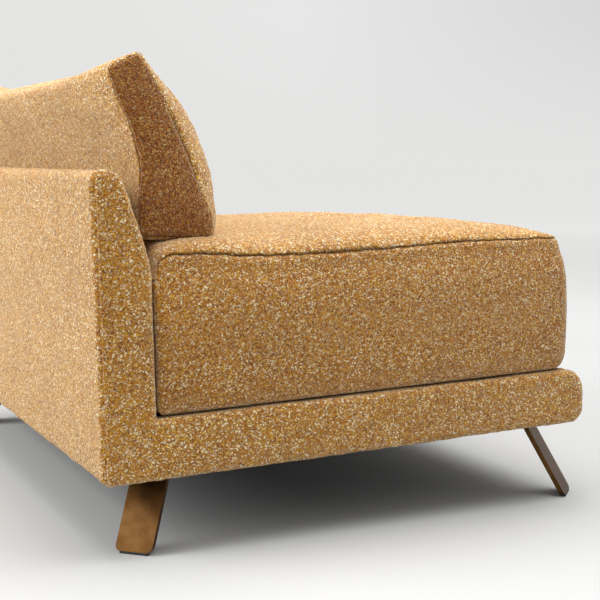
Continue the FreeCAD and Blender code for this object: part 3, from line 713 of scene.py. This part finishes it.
def back_cushion(material):
    low, high = shell_box("back_cushion")
    half, top, bottom = high[0], high[2], low[2] + 0.007
    rear = shell_box("back_inner_pad")[1][1] + 0.0035
    end, swell = boxed_end(low[1], rear, bottom, top)
    count = CUSHION_POINTS
    outline = spline(end, count)
    fattened = spline(end + swell, count)
    hub = outline.mean(axis=0)
    ridge = smooth_step(outline[:, 1], top - RIDGE, top)
    seam_x = half - END_BULGE

    def section(x):
        ring = outline + (fattened - outline) * (1 - math.exp((x - seam_x) / SWELL_RUN))
        ring[:, 1] -= ridge * CROWN_SAG * (1 - smooth_step(x / seam_x, SAG_END, 1.0))
        return np.column_stack([np.full(count, x), ring])

    def end_ring(t):
        """A loop of the boxed end, from its seam at 1 to its middle at 0, slightly swollen."""
        out = seam_x + END_BULGE * (1 - t ** 4)
        return np.column_stack([np.full(count, out), hub + (outline - hub) * t])

    inside = [0.05, 0.18, 0.32, 0.45, 0.58, 0.70, 0.79, 0.86, 0.905, 0.935, 0.955, 0.97, 0.98, 0.988,
              0.995]
    away = [0.0, 0.0003, 0.0008, 0.0015, 0.0025, 0.004, 0.006, 0.0085, 0.0115, 0.0155, 0.021, 0.028]
    away += list(np.linspace(0.035, half, 78))
    rings = [end_ring(t) for t in inside]
    seam_at = len(rings)
    rings += [section(max(seam_x - s, 0.0)) for s in away]
    steps = np.array([np.linalg.norm(b - a, axis=1) for a, b in zip(rings, rings[1:])])
    gone = np.vstack([np.zeros(count), np.cumsum(steps, axis=0)])
    from_seam = np.abs(gone - gone[seam_at])
    hollow = seam_profile(from_seam)[:, :, None]
    core = np.array([seam_x - 0.06, *hub])
    inward = [(core - ring) / np.linalg.norm(core - ring, axis=1)[:, None] for ring in rings]
    rings = [ring + way * dip for ring, way, dip in zip(rings, inward, hollow)]
    lines = [painted_seam_shade(distance) for distance in from_seam]
    flip = np.array([-1, 1, 1])
    rings += [ring * flip for ring in reversed(rings[:-1])]
    lines += list(reversed(lines[:-1]))
    points = np.vstack(rings)
    points = np.vstack([points, [(half, *hub), (-half, *hub)]])
    faces = ring_faces(len(rings), count)
    faces += fan(0, count, len(points) - 2) + fan((len(rings) - 1) * count, count, len(points) - 1)
    points += pile(points)
    far = points[:, 0] / seam_x
    flatter = smooth_step(far, SAG_END, 1.0) - smooth_step(far, FAR_SAG_END, 1.0)
    points[:, 2] -= CROWN_SAG * flatter * smooth_step(points[:, 2], top - RIDGE, top)
    free = smooth_step(points[:, 2], bottom + 0.02, bottom + 0.06)
    points[:, 1] += (0.0020 * waves(points, 0.17, 21) + 0.0008 * waves(points, 0.06, 22)) * free
    rest_on_seat(points, bottom)
    sink_zip(points, rear)
    # Painted shade: the back cushion's boxed ends are painted darker.
    nap = np.repeat([1.0] * seam_at + [0.0] * (len(lines) - 2 * seam_at) + [1.0] * seam_at, count)
    return mesh_piece("back_cushion_cover", points, faces, material,
                      seam=np.concatenate(lines + [np.zeros(2)]), nap=np.append(nap, [1.0, 1.0]))


# CAD pieces that keep their shape


def finish_cad_nodes():
    finishes = {
        "frame_timber": timber("frame_timber", (0.40, 0.25, 0.12), (0.66, 0.47, 0.27), (4.0, 22.0, 22.0)),
        "birch_ply": timber("birch_ply", (0.52, 0.36, 0.20), (0.78, 0.62, 0.42), (3.0, 16.0, 40.0)),
        "dust_cloth": cloth("dust_cloth", (0.008, 0.008, 0.009), (0.035, 0.035, 0.037), 260.0),
        "leg_bronze": bronze(),
        "black_rubber": moulded("black_rubber", (0.010, 0.010, 0.010), (0.028, 0.028, 0.028), 0.8),
        "zinc_steel": plain_metal("zinc_steel", (0.42, 0.43, 0.44), (0.62, 0.62, 0.60), 1.0, 0.3, 0.5),
        "fastener_steel": plain_metal("fastener_steel", (0.55, 0.55, 0.54), (0.72, 0.72, 0.70),
                                      1.0, 0.2, 0.35),
        "strut_black": plain_metal("strut_black", (0.012, 0.012, 0.013), (0.03, 0.03, 0.032),
                                   0.0, 0.3, 0.42),
        "strut_chrome": plain_metal("strut_chrome", (0.70, 0.70, 0.71), (0.82, 0.82, 0.83),
                                    1.0, 0.08, 0.16),
        "zip_plastic": moulded("zip_plastic", (0.17, 0.09, 0.03), (0.30, 0.17, 0.06), 0.5),
        "zip_metal": plain_metal("zip_metal", (0.33, 0.23, 0.11), (0.48, 0.36, 0.2), 1.0, 0.25, 0.4),
    }
    for part in frame["record"]["subparts"]:
        if part["material_slot"] in finishes:
            mesh = frame["nodes"][part["node"]].data
            mesh.materials.clear()
            mesh.materials.append(finishes[part["material_slot"]])


# Setting


def aim(item, place, target):
    item.location = place
    item.rotation_euler = (Vector(target) - Vector(place)).to_track_quat("-Z", "Y").to_euler()


def area_light(name, place, target, size, power, spread=180):
    light = bpy.data.lights.new(name, "AREA")
    light.spread = math.radians(spread)
    light.shape = "SQUARE"
    light.size = size
    light.energy = power
    item = bpy.data.objects.new(name, light)
    bpy.context.scene.collection.objects.link(item)
    aim(item, place, target)
    return item


def floor_material():
    """White floor, evened out under the lamp, that meets the pale air far away with no line between."""
    material, tree, shader = new_material("floor")
    place = add_node(tree, "ShaderNodeTexCoord").outputs["Object"]
    place = add_node(tree, "ShaderNodeVectorMath", {"operation": "ADD"}, i0=place, i1=(0.0, 0.3, 0.0))
    place = place.outputs[0]
    away = add_node(tree, "ShaderNodeVectorMath", {"operation": "LENGTH"}, i0=place).outputs["Value"]
    grain = add_node(tree, "ShaderNodeTexNoise", Vector=place, Scale=30.0).outputs[0]
    away = maths(tree, "ADD", maths(tree, "DIVIDE", away, 8.0), maths(tree, "MULTIPLY", grain, 0.004))
    stops = [(0.0, 0.37), (0.06, 0.385), (0.125, 0.415), (0.19, 0.45), (0.25, 0.53), (0.34, 0.63),
             (0.5, 0.76), (0.75, 0.89), (1.0, 0.97)]
    colour = ramp(tree, away, [(place, (shade, shade, shade * 0.995)) for place, shade in stops])
    tree.links.new(colour, shader.inputs["Base Color"])
    far = add_node(tree, "ShaderNodeMapRange", Value=away, From_Min=0.4, From_Max=1.0, To_Max=0.055)
    shader.inputs["Emission Color"].default_value = (1, 1, 1, 1)
    tree.links.new(far.outputs[0], shader.inputs["Emission Strength"])
    shader.inputs["Roughness"].default_value = 0.7
    shader.inputs["Specular IOR Level"].default_value = 0.0
    return material


def air():
    """The studio's pale air, a little darker to the front and right of the seat."""
    world = bpy.data.worlds.new("air")
    world.use_nodes = True
    tree = world.node_tree
    way = add_node(tree, "ShaderNodeTexCoord").outputs["Generated"]
    height = add_node(tree, "ShaderNodeSeparateXYZ", Vector=way).outputs["Z"]
    height = add_node(tree, "ShaderNodeMapRange", Value=height, From_Min=0.0, From_Max=0.11).outputs[0]
    aside = (-0.434, -0.901, 0)
    lateral = add_node(tree, "ShaderNodeVectorMath", {"operation": "DOT_PRODUCT"}, i0=way, i1=aside)
    spread = add_node(tree, "ShaderNodeMapRange", Value=lateral.outputs["Value"],
                      From_Min=-0.5, From_Max=0.5)
    colour = ramp(tree, spread.outputs[0], [
        (0.27, (0.775, 0.782, 0.765)), (0.5, (0.80, 0.80, 0.795)), (0.73, (0.69, 0.69, 0.69))])
    colour = mixed(tree, height, (0.776, 0.780, 0.768), colour)
    tree.links.new(colour, tree.nodes["Background"].inputs[0])
    bpy.context.scene.world = world


def setting():
    low, high = (Vector(corner) for corner in cad_box)
    camera = bpy.data.objects.new("camera", bpy.data.cameras.new("camera"))
    bpy.context.scene.collection.objects.link(camera)
    camera.data.lens = 75.72
    heading, pitch = math.radians(-25.72), math.radians(-6.395)
    place = Vector((low.x - 1.6995, high.y + 0.4990, 0.58))
    level = math.cos(pitch)
    way = Vector((math.cos(heading) * level, math.sin(heading) * level, math.sin(pitch)))
    aim(camera, place, place + way)
    bpy.context.scene.camera = camera

    bpy.ops.mesh.primitive_circle_add(vertices=96, radius=60, fill_type="NGON")
    floor = bpy.context.object
    floor.name = "floor"
    floor.data.materials.append(floor_material())

    air()
    bpy.context.scene.view_settings.view_transform = "Standard"
    area_light("overhead", (-0.25, -0.4, 2.9), (0, -0.05, 0.3), 2.8, 160)
    area_light("behind", (0.5, 3.0, 1.8), (0, 0.3, 0.35), 2.0, 54, spread=115)


def main():
    yarn = boucle()
    shell = shell_cover(yarn)
    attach(shell, "base")
    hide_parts("back_end_pad_left", "back_end_pad_right", "back_inner_pad", "back_outer_pad",
                "back_top_pad", "base_front_pad", "base_rim_pads", "base_side_pad_left",
                "base_side_pad_right")

    seat = seat_cushion(yarn)
    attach(seat, "seat_lid")
    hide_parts("lid_side_pads", "seat_foam")

    back = back_cushion(yarn)
    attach(back, "back_cushion")
    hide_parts("back_cushion")

    finish_cad_nodes()
    setting()


main()
